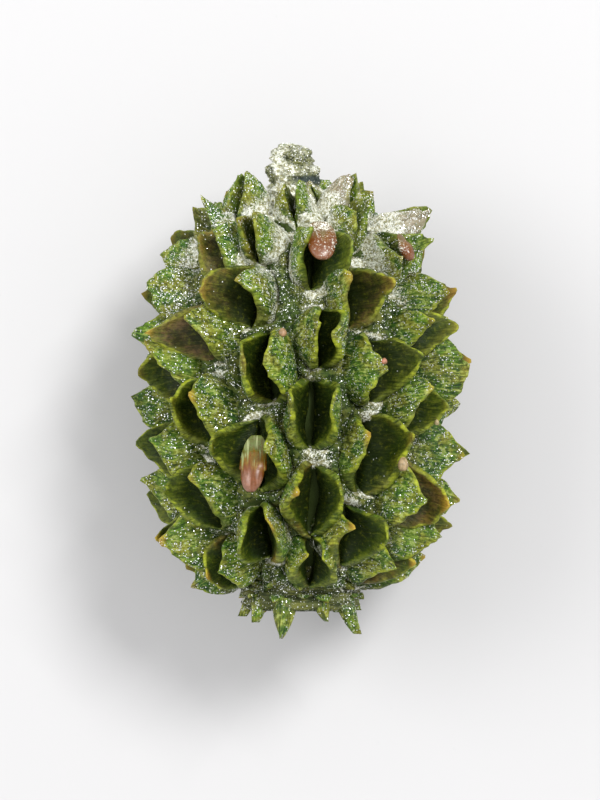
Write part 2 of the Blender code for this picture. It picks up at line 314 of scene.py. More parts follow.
def placed(turn, along):
    """The base points on the body and their directions: round the axis, towards the tip, outwards."""
    step = 0.05 * MM
    slope = (body_radius(along + step) - body_radius(along - step)) / (2 * step)
    share_of_slope = np.interp(along / MM, (6.0, 9.0), (TURN_TO_SIDE, TURN_AT_TIP))
    tilt = (share_of_slope * np.arctan(-slope))[..., None]
    side, radial = side_and_radial(turn)
    axial = np.array([0.0, 1.0, 0.0])
    return Placed(
        round_axis(turn, body_radius(along), along), side,
        np.cos(tilt) * axial - np.sin(tilt) * radial,
        np.cos(tilt) * radial + np.sin(tilt) * axial)


def all_cells():
    """Every cell's place, size and look: the rule, then drawn jitter, then what LOOKS adds."""
    draws = draws_for("cells")
    widened = {(seed.whorl, seed.place): seed.lean for seed in SEEDS}
    rows = []
    for number, whorl in enumerate(WHORLS):
        for place in range(whorl.cells):
            shift = draws.uniform(-1, 1, 5)
            open_share = np.interp(whorl.along_mm, OPEN_ALONG_MM, OPEN_SHARE)
            lean = widened.get((number, place), USUAL_LEAN * open_share)
            look = LOOKS.get((number, place), Look())
            turn = math.radians(whorl.turn_degrees + 360 * place / whorl.cells) + TURN_JITTER * shift[0]
            droop = DROOP * math.sin(turn)
            rows.append((
                turn + look.round_mm * MM / BODY_RADIUS,
                whorl.along_mm * MM + ALONG_JITTER * shift[1] + look.along_mm * MM,
                lean + LEAN_JITTER * shift[2] + look.left - droop,
                lean + LEAN_JITTER * shift[3] + look.right + droop,
                whorl.half_width_mm * MM,
                whorl.length_mm * MM * (1 + LENGTH_JITTER * shift[4]) * look.longer,
                number, place, look.brown, look.pale))
    return Cells(*np.array(rows).T)


CELLS = all_cells()


def tipwards(along):
    """0 up to 2 mm past the middle, then evenly up to 1 at 8 mm."""
    return np.clip((along / MM - 2.0) / 6.0, 0, 1)


def valves_of(whorls):
    """Both valves of every cell in these whorls, left ones first, as arrays that spread over a grid."""
    kept = np.isin(CELLS.whorl, list(whorls))
    cells = Cells(*(values[kept] for values in CELLS))
    at = placed(cells.turn, cells.along)

    def both(left, right=None):
        return np.concatenate([left, left if right is None else right])[:, None, None]

    return Valves(
        both(at.base), both(-at.side, at.side), both(at.up), both(at.out), both(cells.half_width),
        both(cells.length), both(cells.left, cells.right),
        draws_for("tones", min(whorls)).uniform(0, 1, 2 * len(cells.turn))[:, None, None],
        both(cells.brown), both(tipwards(cells.along) + cells.pale))


# ---- meshes from arrays


def waves(places, draws, count, lowest, highest):
    """Smooth random waves along one parameter: a sum of sines with drawn pitch and phase, about -1 to 1.

    The draws' leading shape is places.shape[0]: every row has waves of its own.
    """
    rows = places.shape[0]
    pitch = draws.uniform(lowest, highest, (rows, count))
    phase = draws.uniform(0, 2 * math.pi, (rows, count))
    spread = (rows, count) + (1,) * (places.ndim - 1)
    angles = pitch.reshape(spread) * places[:, None] + phase.reshape(spread)
    return np.sin(angles).sum(axis=1) / math.sqrt(count)


def lumps(points, draws, count, size):
    """Smooth random lumps in space: a sum of sines along drawn directions, about -1 to 1."""
    ways = unit(draws.normal(size=(count, 3)))
    pitch = 2 * math.pi / (size * draws.uniform(0.6, 1.6, count))
    phase = draws.uniform(0, 2 * math.pi, count)
    return np.sin(points @ (ways * pitch[:, None]).T + phase).sum(axis=-1) / math.sqrt(count)


def warp(points):
    """Every point of the woody cone moved by drawn waves in space, so that no two cells are alike.

    Each of x, y and z gets a broad wave 3 mm long and a short one 1 mm long. It fades out at the
    floor and towards the stalk. What would lie lower than a little above the floor is squeezed in
    under that height by an exponential, and so stays above the floor.
    """
    draws = draws_for("warp")
    moved = np.stack([
        WARP_BROAD * lumps(points, draws, 10, 3.4 * MM) + WARP_SHORT * lumps(points, draws, 14, 1.1 * MM)
        for _ in range(3)], axis=-1)
    fade = np.clip(points[..., 2:] / (2.5 * MM), 0, 1)
    points = points + moved * fade * np.clip((points[..., 1:2] + 12.5 * MM) / (2 * MM), 0, 1)
    low = points[..., 2]
    points[..., 2] = np.where(low < LOW, LOW * np.exp(np.minimum(low - LOW, 0) / LOW), low)
    return points


def loop_faces(columns, around):
    """Quads of closed loops carried along columns, and triangles that close both ends on a pole each."""
    i, j = np.meshgrid(np.arange(columns - 1), np.arange(around), indexing="ij")
    after = (j + 1) % around
    quads = np.stack([i * around + j, (i + 1) * around + j, (i + 1) * around + after, i * around + after], -1)
    ring = np.arange(around)
    last = (columns - 1) * around
    poles = columns * around
    start = np.stack([np.full(around, poles), ring, (ring + 1) % around], -1)
    end = np.stack([np.full(around, poles + 1), last + (ring + 1) % around, last + ring], -1)
    return quads.reshape(-1, 4), np.vstack([start, end])


def make_mesh(name, points, quads, triangles, attributes=None, uv=None, smooth=True):
    """Puts arrays into a mesh object: quads and triangles, float values on points, a UV value on points."""
    mesh = bpy.data.meshes.new(name)
    corners = np.concatenate([quads.ravel(), triangles.ravel()]).astype(np.int32)
    totals = np.concatenate([np.full(len(quads), 4), np.full(len(triangles), 3)]).astype(np.int32)
    starts = np.concatenate([[0], np.cumsum(totals)[:-1]]).astype(np.int32)

    def put(target, key, values, kind=np.float32):
        target.foreach_set(key, np.ascontiguousarray(values, dtype=kind).ravel())

    mesh.vertices.add(len(points))
    put(mesh.vertices, "co", points)
    mesh.loops.add(len(corners))
    put(mesh.loops, "vertex_index", corners, np.int32)
    mesh.polygons.add(len(totals))
    put(mesh.polygons, "loop_start", starts, np.int32)
    put(mesh.polygons, "loop_total", totals, np.int32)
    put(mesh.polygons, "use_smooth", np.full(len(totals), smooth), bool)
    for key, values in (attributes or {}).items():
        put(mesh.attributes.new(key, "FLOAT", "POINT").data, "value", values)
    if uv is not None:
        put(mesh.uv_layers.new(name="UVMap").data, "uv", uv[corners])
    mesh.update(calc_edges=True)
    mesh.validate()
    made = bpy.data.objects.new(name, mesh)
    bpy.context.scene.collection.objects.link(made)
    return made


def closed_loops(name, loops, attributes, uv=None):
    """One mesh of closed loops carried along columns: arrays (shape, column, place round, xyz).

    Both ends of each shape are closed on a pole, the mean of its ring. A shape whose signed volume
    is negative has its faces turned round. Attributes spread over the first three axes.
    """
    count, columns, around = loops.shape[:3]

    def with_poles(values):
        ends = np.stack([values[:, 0].mean(axis=1), values[:, -1].mean(axis=1)], axis=1)
        return np.concatenate([values.reshape(count, columns * around, *values.shape[3:]), ends], axis=1)

    points = with_poles(loops)
    quads, triangles = loop_faces(columns, around)
    a, b, c = (points[:, quads[:, corner]] - points.mean(axis=1, keepdims=True) for corner in range(3))
    turned = np.einsum("nij,nij->n", a, np.cross(b, c)) < 0

    def of_all(faces):
        both = np.where(turned[:, None, None], faces[None, :, ::-1], faces[None])
        return (both + points.shape[1] * np.arange(count)[:, None, None]).reshape(-1, faces.shape[1])

    full = {key: with_poles(np.broadcast_to(values, loops.shape[:3])) for key, values in attributes.items()}
    return make_mesh(name, points.reshape(-1, 3), of_all(quads), of_all(triangles), full,
                     None if uv is None else with_poles(uv).reshape(-1, 2))


# ---- valves

COLUMNS = 37
FACE_ROWS = 13
LIP_ROWS = 3
UV_STEP_MM = 37.0


def valve_sheets(valves, settings, draws):
    """Inner face of each valve, its outward normals, height share, u and height: (valve, column, row).

    Across, u runs from -1 to 1 along the axis, as the sine of an even angle. The rim's height is a
    rounded shoulder (1 - |u|^p)^q, p and q drawn for each valve, with a pointed peak
    exp(-(|u|/0.3)^1.3) on it. Sideways, the face starts on the slit's ellipse and leans away with
    height, with a belly r(1 - r), a curl r^2 and a twist u.
    """
    count = len(valves.lean)

    def drawn(low, high):
        return draws.uniform(low, high, count)[:, None, None]

    theta = end_to_end(COLUMNS)
    cosine = np.cos(theta)[None, :, None]
    u = np.broadcast_to(np.sin(theta)[None, :, None], (count, COLUMNS, 1))
    t = (np.linspace(0, 1, FACE_ROWS) ** 0.85)[None, None, :]
    shifted = np.abs(u - drawn(-0.12, 0.45) * (1 - u**2))
    full, steep = drawn(1.8, 3.0), drawn(0.70, 1.10)
    shoulder = np.clip(1 - shifted**full, 0, 1) ** steep
    peak = np.exp(-((shifted / 0.3) ** 1.3))
    ragged = 1 + 0.030 * waves(u, draws, 6, 9, 32)
    pointed = settings.tip_share * drawn(0.6, 1.5)
    rim = valves.length * ((1 - pointed) * shoulder * ragged + pointed * peak)
    out = -settings.root_depth + (rim + settings.root_depth) * t
    risen = np.clip(out / valves.length, 0, 1)
    frosted = np.clip(valves.frost, 0, 1)
    belly = drawn(0.06, 0.22) * (0.4 + 0.6 * (1 - frosted))
    curl, twist, nod = drawn(-0.14, 0.18), drawn(-0.20, 0.20), drawn(-0.12, 0.22)
    mouth = settings.slit * (1 - 0.6 * frosted) * valves.half_width * cosine * (0.5 + 0.5 * risen**0.5)
    apart = mouth + (valves.lean + twist * u) * np.maximum(out, 0)
    apart = apart + valves.length * (4 * belly * risen * (1 - risen) * cosine + curl * risen**2)
    apart = apart + 0.10 * MM * waves(u, draws, 3, 2.5, 7.0) * risen
    up = u * valves.half_width * drawn(1.02, 1.22) * (1 + 0.22 * risen) + nod * valves.length * risen**2
    sheet = (valves.base + valves.up * up[..., None] + valves.side * apart[..., None]
             + valves.out * out[..., None])
    normals = unit(np.cross(np.gradient(sheet, axis=1), np.gradient(sheet, axis=2)))
    facing = np.sign((normals * valves.side).sum(axis=(1, 2, 3)))
    return sheet, normals * facing[:, None, None, None], risen, u, out


def valve_loops(whorls, settings):
    """The valves of some whorls, their closed loops (valve, column, place round, xyz), normals and masks.

    A loop runs up the inner face, over a round lip and down the outer face, which stands off the
    inner one by the thickness: thin at the rim, thicker by (1 - r)^1.7 towards the root, with long
    folds on it.
    """
    valves = valves_of(whorls)
    draws = draws_for("valves", min(whorls))
    sheet, normals, risen, u, out = valve_sheets(valves, settings, draws)
    middle = np.clip(1 - np.abs(u) ** 3, 0, 1)
    thicker = (settings.root_thickness - settings.rim_thickness) * (1 - risen) ** 1.7 * middle
    folds = waves(u, draws, 6, 8, 30) * settings.fold_height * np.clip(1.4 * risen, 0, 1) * (1.15 - risen)
    outer = sheet + normals * (settings.rim_thickness + thicker + folds)[..., None]
    inner = sheet + normals * (0.4 * waves(u, draws, 5, 10, 34) * settings.fold_height * (1 - risen))[..., None]
    top_in, top_out = inner[:, :, -1], outer[:, :, -1]
    rise = unit(top_in - inner[:, :, -2])
    half = np.linalg.norm(top_out - top_in, axis=-1, keepdims=True) / 2
    lip = np.stack([
        (top_in + top_out) / 2 - (top_out - top_in) / 2 * math.cos(angle) + rise * half * math.sin(angle)
        for angle in np.linspace(0, math.pi, LIP_ROWS + 2)[1:-1]], axis=2)
    loops = warp(np.concatenate([inner, lip, outer[:, :, ::-1]], axis=2))

    def round_loop(inside, over_lip, outside):
        lip_values = np.broadcast_to(over_lip, loops.shape[:2] + (LIP_ROWS,))
        return np.concatenate([inside, lip_values, outside[:, :, ::-1]], axis=2)

    rim_share = np.clip(out / (out[:, :, -1:] + 0.05 * MM), 0, 1)
    height = round_loop(rim_share, 1.0, rim_share)
    outside = round_loop(np.zeros(out.shape), np.linspace(0.25, 0.75, LIP_ROWS), np.ones(out.shape))
    return valves, loops, normals, height, outside, round_loop(risen, risen[:, :, -1:], risen), u


def make_valves(name, whorls, settings):
    """The valves of some whorls as one piece. UV runs across and up each valve in mm, set off by its tone."""
    valves, loops, _, height, outside, risen, across = valve_loops(whorls, settings)
    wide = np.broadcast_to(across * valves.half_width / MM, risen.shape)
    uv = np.stack([wide, risen * valves.length / MM], axis=-1) + valves.tone[..., None] * UV_STEP_MM
    made = closed_loops(name, loops, {
        "height": height, "outside": outside, "risen": risen, "tone": valves.tone, "brown": valves.brown,
        "frost": valves.frost}, uv)
    settle(made, paint("green_valves", fill_valves))


def outer_spots(whorls, settings, count, draws):
    """Random spots on the outsides of valves, with their normals, denser towards the roots and the tip."""
    valves, loops, normals, _, _, risen, _ = valve_loops(whorls, settings)
    outer = loops[:, :, FACE_ROWS + LIP_ROWS:][:, :, ::-1]
    clumps = np.clip(0.55 + 1.1 * lumps(outer, draws_for("clumps"), 20, 1.0 * MM), 0.08, 2.4) ** 1.3
    weight = (0.6 + valves.frost) * (1.35 - risen[:, :, :FACE_ROWS]) * clumps
    weight[:, :, :4] = 0
    weight[:, :2] = 0
    weight[:, -2:] = 0
    picked = draws.choice(weight.size, count, p=(weight / weight.sum()).ravel())
    n, i, j = np.unravel_index(picked, weight.shape)
    nearby = np.clip(j + draws.integers(-1, 2, count), 4, FACE_ROWS - 1)
    beside = np.clip(i + draws.integers(-1, 2, count), 1, COLUMNS - 2)
    a, b = draws.uniform(0, 1, (2, count, 1))
    spots = outer[n, i, j] * (1 - a * 0.5 - b * 0.5) + outer[n, i, nearby] * a * 0.5 + outer[n, beside, j] * b * 0.5
    return spots, normals[n, i, j]


# ---- body, nub and stalk end


def body_rings(settings):
    """The body as rings: superellipse radius, less a hollow in each cell, plus banks and rough crust.

    The hollow is 1 inside an ellipse about the cell's slit and falls to 0 outside it by a smooth
    step of the distance. The banks rise by the same step round a wider ellipse. The crust is drawn
    lumps in space. The shelf is a bell before and behind each cell.
    """
    turn, along, half_width = CELLS.turn, CELLS.along, CELLS.half_width
    angle = end_to_end(BODY_ROWS + 2)[1:-1]
    places = BODY_MIDDLE + BODY_HALF_LENGTH * np.sign(angle) * np.abs(np.sin(angle)) ** (2 / BODY_SQUARENESS)
    places, turns = np.meshgrid(places, around_circle(BODY_SIDES), indexing="ij")
    radius = body_radius(places)
    apart = ((turns[..., None] - turn + math.pi) % (2 * math.pi) - math.pi) * radius[..., None]
    above = places[..., None] - along

    def beyond(across, upwards, soft):
        near = np.sqrt((apart / across) ** 2 + (above / upwards) ** 2).min(axis=-1)
        step = np.clip((near - 1) / soft, 0, 1)
        return step * step * (3 - 2 * step)

    hollow = 1 - beyond(0.30 * half_width + 0.12 * MM, 0.90 * half_width, 0.25)
    # 0 on each cell's floor, 1 on the ledges: the bark gets painted shade where it is low, frost and glitter where it
    # is high
    shade = beyond(0.62 * half_width + 0.15 * MM, 1.0 * half_width, 0.30)
    bank = beyond(0.42 * half_width + 0.62 * MM, half_width + 0.05 * MM, 0.35)
    shelf = (np.exp(-((apart / (1.0 * MM)) ** 2))
             * np.exp(-(((np.abs(above) - half_width - 0.30 * MM) / (0.34 * MM)) ** 2))).max(axis=-1)
    draws = draws_for("crust")
    surface = round_axis(turns, radius, places)
    crust = lumps(surface, draws, 24, 1.1 * MM) * 0.6 + lumps(surface, draws, 40, 0.45 * MM) * 0.4
    ends = np.clip(radius / (1.2 * MM), 0, 1)
    radius = (radius - settings.pocket_depth * hollow * ends + settings.bank_height * bank * ends
              + settings.crust_height * crust * (1 - hollow))
    return warp(round_axis(turns, radius, places)), shade, shelf, places


def knobs(profile_mm, sides, rows, draws, rough_mm, size_mm, aside_mm=0.0):
    """Rings of a lumpy knob: a smooth profile turned round the axis, with drawn lumps along its radius."""
    along, radius = np.array(profile_mm).T
    at = np.linspace(0, 1, rows)
    run = np.concatenate([[0], np.cumsum(np.hypot(np.diff(along), np.diff(radius)))])
    along, radius = np.interp(at, run / run[-1], along), np.interp(at, run / run[-1], radius)
    kernel = np.hanning(7) / np.hanning(7).sum()
    smooth = np.convolve(np.pad(radius, 3, mode="edge"), kernel, mode="valid")
    radius = np.where((at > 0.02) & (at < 0.98), smooth, radius)[:, None]
    turns, along = around_circle(sides), along[:, None] * MM
    surface = round_axis(turns, radius * MM, along)
    rough = lumps(surface, draws, 20, size_mm * MM) * 0.65 + lumps(surface, draws, 30, size_mm * 0.4 * MM) * 0.35
    rings = round_axis(turns, radius * MM + rough_mm * MM * rough * np.clip(radius / 0.6, 0, 1), along)
    rings[..., 0] += aside_mm * MM * at[:, None]
    return rings


def leaf_loops(turn, along_mm, radius_mm, half_width, reach, rise, thick, splay, columns=17, rows=11):
    """Small pointed scales as loops, hanging down the axis and splayed outwards.

    Their width is (1 + 0.9 t)(1 - t)^0.9 to the tip, and the face is bowed by 1 - u^2.
    """
    side, out = side_and_radial(turn)
    down = (np.array([0.0, -1.0, 0.0]) + splay * out) / math.hypot(1, splay)
    base = round_axis(turn, radius_mm * MM, np.full(len(turn), along_mm * MM))
    u = np.sin(end_to_end(columns))[None, :, None]
    t = np.linspace(0, 1, rows)
    width = half_width[:, None] * (1 + 0.9 * t) * (1 - t) ** 0.9 + 0.02 * MM
    base, side, down, out = (way[:, None, None] for way in (base, side, down, out))
    face = (base + side * (width[:, None] * u)[..., None]
            + down * (reach[:, None, None] * t)[..., None]
            + out * (thick * 1.6 * (1 - u**2) + rise[:, None, None] * t**2)[..., None])
    back = face - out * (thick * (1.15 - 0.8 * t))[:, None]
    return np.concatenate([face, back[:, :, ::-1]], axis=2)


# ---- materials


class Graph:
    """Short way to add linked nodes to a tree: values or sockets go into inputs by name or number."""

    def __init__(self, tree):
        self.tree = tree
        self.here = None

    def put(self, node, values):
        """Links sockets and sets plain values, by an input's identifier, name or number."""
        sockets = {one.identifier: one for one in node.inputs}
        for key, value in values.items():
            socket = sockets[key] if key in sockets else node.inputs[key]
            if isinstance(value, bpy.types.NodeSocket):
                self.tree.links.new(value, socket)
            else:
                socket.default_value = value
        return node

    def add(self, kind, inputs=None, **settings):
        made = self.tree.nodes.new(kind)
        for key, value in settings.items():
            setattr(made, key, value)
        return self.put(made, inputs or {})

    def position(self):
        self.here = self.here or self.add("ShaderNodeTexCoord").outputs["Object"]
        return self.here

    def math(self, operation, a, b=0.0, clamp=False):
        return self.add("ShaderNodeMath", {0: a, 1: b}, operation=operation, use_clamp=clamp).outputs[0]

    def times(self, a, *others):
        for other in others:
            a = self.math("MULTIPLY", a, other)
        return a

    def plus(self, a, b):
        return self.math("ADD", a, b)

    def vector(self, operation, a, b):
        return self.add("ShaderNodeVectorMath", {0: a, 1: b}, operation=operation).outputs[0]

    def stretched(self, coordinates, scale):
        return self.add("ShaderNodeMapping", {"Vector": coordinates, "Scale": scale}).outputs[0]

    def mix(self, factor, a, b, kind="Color", data_type="RGBA"):
        made = self.add("ShaderNodeMix", {
            "Factor_Float": factor, f"A_{kind}": a, f"B_{kind}": b}, data_type=data_type)
        return next(one for one in made.outputs if one.identifier == f"Result_{kind}")

    def coats(self, base, *coats):
        """Colours laid over a base in turn, each by a mask or as far as a value goes from low to high."""
        for tint, value, *span in coats:
            if span:
                low, high, most = span
                value = self.ramp(value, low, high, 0.0, most)
            from_screen = isinstance(tint, tuple) and len(tint) == 3
            base = self.mix(value, base, srgb(*tint) if from_screen else tint)
        return base

    def ramp(self, value, low, high, to_low=0.0, to_high=1.0):
        return self.add("ShaderNodeMapRange", {
            "Value": value, "From Min": low, "From Max": high, "To Min": to_low, "To Max": to_high,
        }, interpolation_type="SMOOTHSTEP").outputs[0]

    def noise(self, scale, detail=3.0, roughness=0.6, at=None):
        return self.add("ShaderNodeTexNoise", {
            "Vector": at or self.position(), "Scale": scale, "Detail": detail, "Roughness": roughness,
        }).outputs[0]

    def clouds(self, scale, detail, low, high, to_low=0.0, to_high=1.0):
        return self.ramp(self.noise(scale, detail), low, high, to_low, to_high)

    def attributes(self, *names):
        return [self.add("ShaderNodeAttribute", attribute_name=name).outputs["Fac"] for name in names]

    def group(self, name, **inputs):
        """Outputs of a shader node group, built once from GROUPS and placed with its own values."""
        made = bpy.data.node_groups.get(name) or new_group(name, *GROUPS[name])
        return self.add("ShaderNodeGroup", inputs, node_tree=made).outputs


def new_group(name, fill, inputs, outputs):
    """A shader node group: inputs with their defaults, outputs with their kinds, filled in by a function."""
    made = bpy.data.node_groups.new(name, "ShaderNodeTree")
    for socket, default in inputs.items():
        one = made.interface.new_socket(name=socket, in_out="INPUT", socket_type="NodeSocketFloat")
        one.default_value = default
    for socket, kind in outputs.items():
        made.interface.new_socket(name=socket, in_out="OUTPUT", socket_type="NodeSocket" + kind)
    given = made.nodes.new("NodeGroupInput").outputs
    graph = Graph(made)
    graph.put(made.nodes.new("NodeGroupOutput"), fill(graph, given))
    return made


def fill_glitter(graph, given):
    """Round flecks in Voronoi cells: some cells hold a fleck, and each one faces its own way."""
    cells = graph.add("ShaderNodeTexVoronoi", {
        "Vector": graph.position(), "Scale": given["Scale"], "Randomness": 1.0}, feature="F1").outputs
    drawn = graph.add("ShaderNodeSeparateColor", {"Color": cells["Color"]}).outputs
    held = graph.math("LESS_THAN", drawn[0], given["Amount"])
    small = graph.math("LESS_THAN", cells["Distance"], 0.42)
    away = graph.vector("SUBTRACT", cells["Color"], (0.5, 0.5, 0.5))
    strong = graph.add("ShaderNodeVectorMath", {0: away, "Scale": 0.9}, operation="SCALE").outputs[0]
    facing = graph.vector("ADD", graph.add("ShaderNodeNewGeometry").outputs["Normal"], strong)
    return {"Mask": graph.times(held, small), "Normal": graph.vector("NORMALIZE", facing, (0, 0, 0)),
            "Shine": graph.ramp(drawn[1], 0.10, 0.50)}


def fill_fibres(graph, given):
    """Long fibres from root to rim: noise squeezed across the valve and stretched along it."""
    long = graph.stretched(graph.add("ShaderNodeUVMap", uv_map="UVMap").outputs[0], (1.0, 0.11, 1.0))
    return {"Value": graph.ramp(graph.noise(given["Scale"], 4.0, 0.65, long), 0.32, 0.68)}


def fill_frost(graph, given):
    """Patches of frosting: two sizes of noise against the amount, with a grainy height."""
    broad, fine = graph.noise(620.0), graph.noise(8500.0, 2.0, 0.8)
    both = graph.plus(graph.times(broad, 0.5), graph.times(fine, 0.5))
    level = graph.math("SUBTRACT", 0.78, graph.times(given["Amount"], 0.45))
    over = graph.math("SUBTRACT", both, level)
    grain = graph.noise(5200.0, 3.0, 0.7)
    return {"Mask": graph.ramp(over, -0.03, 0.08, 0.0, 0.88), "Height": fine, "Pale": graph.ramp(grain, 0.42, 0.58)}


GROUPS = {
    "silver_glitter": (fill_glitter, {"Scale": 12500.0, "Amount": 0.3},
                       {"Mask": "Float", "Normal": "Vector", "Shine": "Float"}),
    "long_fibres": (fill_fibres, {"Scale": 9.0}, {"Value": "Float"}),
    "frost_patches": (fill_frost, {"Amount": 0.3}, {"Mask": "Float", "Height": "Float", "Pale": "Float"}),
}


def paint(name, fill, **values):
    """A material, made once: the fill function gives what goes into its shader's inputs."""
    if name not in bpy.data.materials:
        made = bpy.data.materials.new(name)
        made.use_nodes = True
        graph = Graph(made.node_tree)
        graph.put(made.node_tree.nodes["Principled BSDF"], fill(graph, **values))
    return bpy.data.materials[name]


def finished(graph, base, rough, height, frosting, glitter):
    """Frost and glitter over a base: the shader's colour, metal, roughness and normal."""
    patches = graph.group("frost_patches", Amount=frosting)
    flecks = graph.group("silver_glitter", Amount=glitter)
    crumbs = graph.mix(patches["Pale"], srgb(156, 152, 112), bpy.context.scene.cone_valves.frost)
    shiny = graph.mix(flecks["Shine"], srgb(112, 126, 84), bpy.context.scene.cone_glitter.silver)
    heights = graph.plus(height, graph.times(patches["Height"], patches["Mask"]))
    bump = graph.add("ShaderNodeBump", {"Strength": 0.8, "Distance": 0.08 * MM, "Height": heights}).outputs[0]
    return {
        "Base Color": graph.coats(base, (crumbs, patches["Mask"]), (shiny, flecks["Mask"])),
        "Specular IOR Level": 0.24,
        "Metallic": graph.times(flecks["Mask"], 0.4),
        "Roughness": graph.math("SUBTRACT", rough, graph.times(flecks["Mask"], 0.45), clamp=True),
        "Normal": graph.mix(flecks["Mask"], bump, flecks["Normal"], "Vector", "VECTOR"),
    }


def fill_valves(graph):
    """Green outside, olive inside, a lime rim, ochre tips, then frosting and glitter. The outside carries
    painted shade towards its root, and the inside painted shade deep in the cup and painted light towards
    the rim; the lime rim is partly the lip's own colour and partly a painted highlight.

    The piece's attributes say where a point is: "height" and "risen" run from root to rim, "outside"
    from the inner to the outer face, and "tone", "brown" and "frost" belong to a whole valve.
    """
    settings = bpy.context.scene.cone_valves
    height, outside, tone, risen, brown, frost = graph.attributes(
        "height", "outside", "tone", "risen", "brown", "frost")
    fibre = graph.group("long_fibres", Scale=6.5)["Value"]
    hair = graph.group("long_fibres", Scale=14.0)["Value"]
    broad = graph.clouds(480.0, 3.0, 0.38, 0.62)
    fine = graph.noise(3600.0, 4.0, 0.7)
    striped = graph.ramp(frost, 0.2, 0.9, 1.0, 0.45)
    green = graph.coats(
        settings.wood_green,
        (settings.wood_blue_green, broad),
        ((136, 122, 34), graph.noise(900.0, 2.0), 0.42, 0.64, 0.65),
        ((34, 52, 14), graph.times(striped, graph.ramp(fibre, 0.45, 0.0, 0.0, 0.45))),
        ((140, 146, 60), fibre, 0.55, 1.0, 0.36),
        ((26, 42, 12), graph.times(striped, graph.ramp(hair, 0.45, 0.05, 0.0, 0.75))),
        # painted shade: the outside darkens towards its root, next to the body
        ((34, 58, 16), risen, 0.65, 0.10, 0.60),
        ((174, 180, 90), hair, 0.66, 1.0, 0.70),
        ((24, 46, 16), fine, 0.52, 0.36, 0.70),
        ((170, 186, 106), fine, 0.54, 0.64, 0.60))
    patchy = graph.times(graph.ramp(tone, 0.3, 0.9), broad)
    # painted light: the inside turns lighter towards the rim
    lit = graph.times(graph.ramp(height, 0.58, 0.96, 0.0, 0.60), graph.clouds(1000.0, 3.0, 0.36, 0.62, 0.35))
    olive = graph.coats(
        settings.wood_olive,
        (settings.wood_brown, patchy),
        ((34, 58, 12), graph.noise(1700.0, 4.0, 0.65), 0.60, 0.38, 0.65),
        ((136, 104, 72), graph.times(brown, graph.clouds(1500.0, 4.0, 0.35, 0.6, 0.35))),
        ((38, 54, 8), fibre, 0.5, 0.0, 0.6),
        ((128, 134, 48), fibre, 0.7, 1.0, 0.35),
        # painted shade: the inside darkens towards its root, deep in the cup
        ((26, 38, 6), height, 0.90, 0.10, 0.92),
        (graph.mix(patchy, srgb(104, 116, 28), srgb(134, 104, 34)), lit),
        ((22, 32, 6), fine, 0.52, 0.36, 0.50),
        ((126, 130, 34), fine, 0.54, 0.66, 0.35),
        ((26, 38, 8), hair, 0.40, 0.05, 0.50),
        (green, frost, 0.85, 1.1, 0.6))

    edge = graph.clouds(700.0, 2.0, 0.35, 0.65, 0.985, 0.91)
    # the lime rim: partly the lip's own colour, partly a painted highlight along the edge
    rim = graph.times(
        graph.ramp(height, edge, 1.0), graph.ramp(fibre, 0.0, 0.8, 0.35), graph.ramp(fine, 0.36, 0.56, 0.50),
        graph.ramp(frost, 0.1, 0.9, 1.0, 0.35), graph.ramp(risen, 0.15, 0.60),
        graph.clouds(1400.0, 3.0, 0.38, 0.62, 0.0, 0.95), graph.ramp(outside, 0.4, 1.0, 1.0, 0.55))
    tip = graph.times(graph.ramp(risen, 0.80, 1.0), graph.ramp(tone, 0.35, 1.0, 0.0, 0.75),
                      graph.ramp(frost, 0.1, 0.9, 0.8, 0.25))
    dull = graph.times(graph.ramp(frost, 1.05, 1.35, 0.0, 0.8), outside)
    base = graph.coats(
        olive, (green, outside), (settings.rim_lime, rim), (settings.tip_ochre, tip),
        (graph.mix(fibre, srgb(116, 100, 84), srgb(186, 174, 156)), dull))

    frosting = graph.math(
        "MAXIMUM",
        graph.times(outside, graph.ramp(risen, 0.05, 0.75, 1.0, 0.25), graph.plus(graph.times(frost, 0.74), 0.34)),
        graph.times(graph.ramp(outside, 0.3, 0.7), graph.ramp(frost, 1.0, 1.5, 0.0, 0.38)))
    sown = graph.math("MAXIMUM", graph.ramp(outside, 0.5, 1.0, 0.02), graph.ramp(frost, 0.85, 1.05, 0.0, 0.7))
    glitter = graph.times(sown, graph.plus(graph.times(frost, 0.34), 0.22),
                          graph.clouds(1100.0, 3.0, 0.38, 0.62, 0.20, 1.3))
    return finished(graph, base, graph.ramp(outside, 0.0, 1.0, 0.46, 0.55), graph.times(fibre, 0.8), frosting,
                    glitter)


def fill_crust(graph, bark, deep, amount, glitter, stretch=(1.0, 1.0, 1.0)):
    """Body, nub and stalk end: bark that darkens towards "deep" where "ledge" is low, frosted where it is high. On
    the body the darkening is painted shade on the floors of the cells.
    """
    ledge, shelf, towards_tip = graph.attributes("ledge", "shelf", "tipwards")
    broad = graph.noise(900.0, 4.0)
    grain = graph.noise(3600.0, 4.0, 0.7, graph.stretched(graph.position(), stretch))
    base = graph.coats(
        bark, ((110, 112, 50), broad, 0.40, 0.70, 1.0), ((20, 34, 10), grain, 0.58, 0.38, 0.85),
        # painted shade: darker towards "deep" where "ledge" is low, on the body the floors of the cells
        (deep, ledge, 0.95, 0.35, 1.0))
    frosting = graph.times(graph.ramp(ledge, 0.7, 1.0), graph.plus(graph.times(towards_tip, 0.30), amount))
    frosting = graph.times(graph.plus(frosting, graph.times(shelf, 0.92)), graph.clouds(420.0, 2.0, 0.35, 0.60, 0.45))
    flecks = graph.times(graph.ramp(ledge, 0.6, 1.0), glitter, graph.clouds(1300.0, 3.0, 0.40, 0.65, 0.25))
    return finished(graph, base, 0.75, broad, frosting, flecks)


def fill_silver(graph):
    """Silver flakes, duller and greener where "shine" is low."""
    shine, = graph.attributes("shine")
    return {
        "Base Color": graph.mix(graph.ramp(shine, 0.10, 0.65), srgb(128, 140, 96),
                                bpy.context.scene.cone_glitter.silver),
        "Roughness": graph.clouds(3000.0, 1.0, 0.3, 0.7, 0.12, 0.3),
        "Metallic": graph.ramp(shine, 0.3, 0.9, 0.15, 0.55)}


